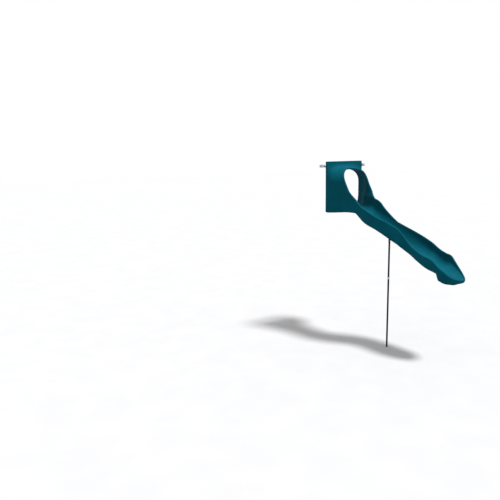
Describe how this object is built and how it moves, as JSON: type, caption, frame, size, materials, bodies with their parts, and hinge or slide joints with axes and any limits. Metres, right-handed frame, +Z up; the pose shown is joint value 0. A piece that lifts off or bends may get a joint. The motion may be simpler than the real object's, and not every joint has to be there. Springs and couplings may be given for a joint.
{
  "type": "wave slide",
  "caption": "S-curved open playground slide with a wavy double-wall chute, an arched entry hood panel, a deck flange, post clamps and one support leg.",
  "frame": {"origin": "centre of the deck flange's four-hole pattern, on the flange face that meets the deck edge", "axes": "+X down the slide away from the deck, +Y the rider's left, +Z up"},
  "size_m": [3.5294, 1.5612, 4.404],
  "materials": {
    "teal_polyethylene": "moulded, low gloss",
    "navy_powder_coat": "powder coated",
    "cast_aluminium": "cast, tumbled",
    "zinc_steel": "zinc plated",
    "brass": "turned",
    "black_rubber": "matt"
  },
  "bodies": {
    "root": {"chute": "teal_polyethylene", "hood": "teal_polyethylene", "deck_flange": "navy_powder_coat", "bed_bolts": "zinc_steel", "bed_washers": "zinc_steel", "bed_inserts": "brass", "seam_dowels": "zinc_steel", "splice_plate_right": "zinc_steel", "splice_plate_left": "zinc_steel", "splice_bolts": "zinc_steel", "splice_washers": "zinc_steel", "splice_inserts": "brass", "clamp_right_front": "cast_aluminium", "clamp_right_back": "cast_aluminium", "clamp_left_front": "cast_aluminium", "clamp_left_back": "cast_aluminium", "clamp_bolts": "zinc_steel", "clamp_washers": "zinc_steel", "clamp_nuts": "zinc_steel", "tab_bolts": "zinc_steel", "tab_washers": "zinc_steel", "tab_inserts": "brass", "leg_bracket": "navy_powder_coat", "leg_pad": "black_rubber", "leg_bolts": "zinc_steel", "leg_washers": "zinc_steel", "leg_inserts": "brass", "support_leg": "navy_powder_coat", "leg_cross_bolt": "zinc_steel", "leg_cross_nut": "zinc_steel", "leg_end_plug": "black_rubber", "grade_collar": "cast_aluminium"}
  },
  "joints": []
}
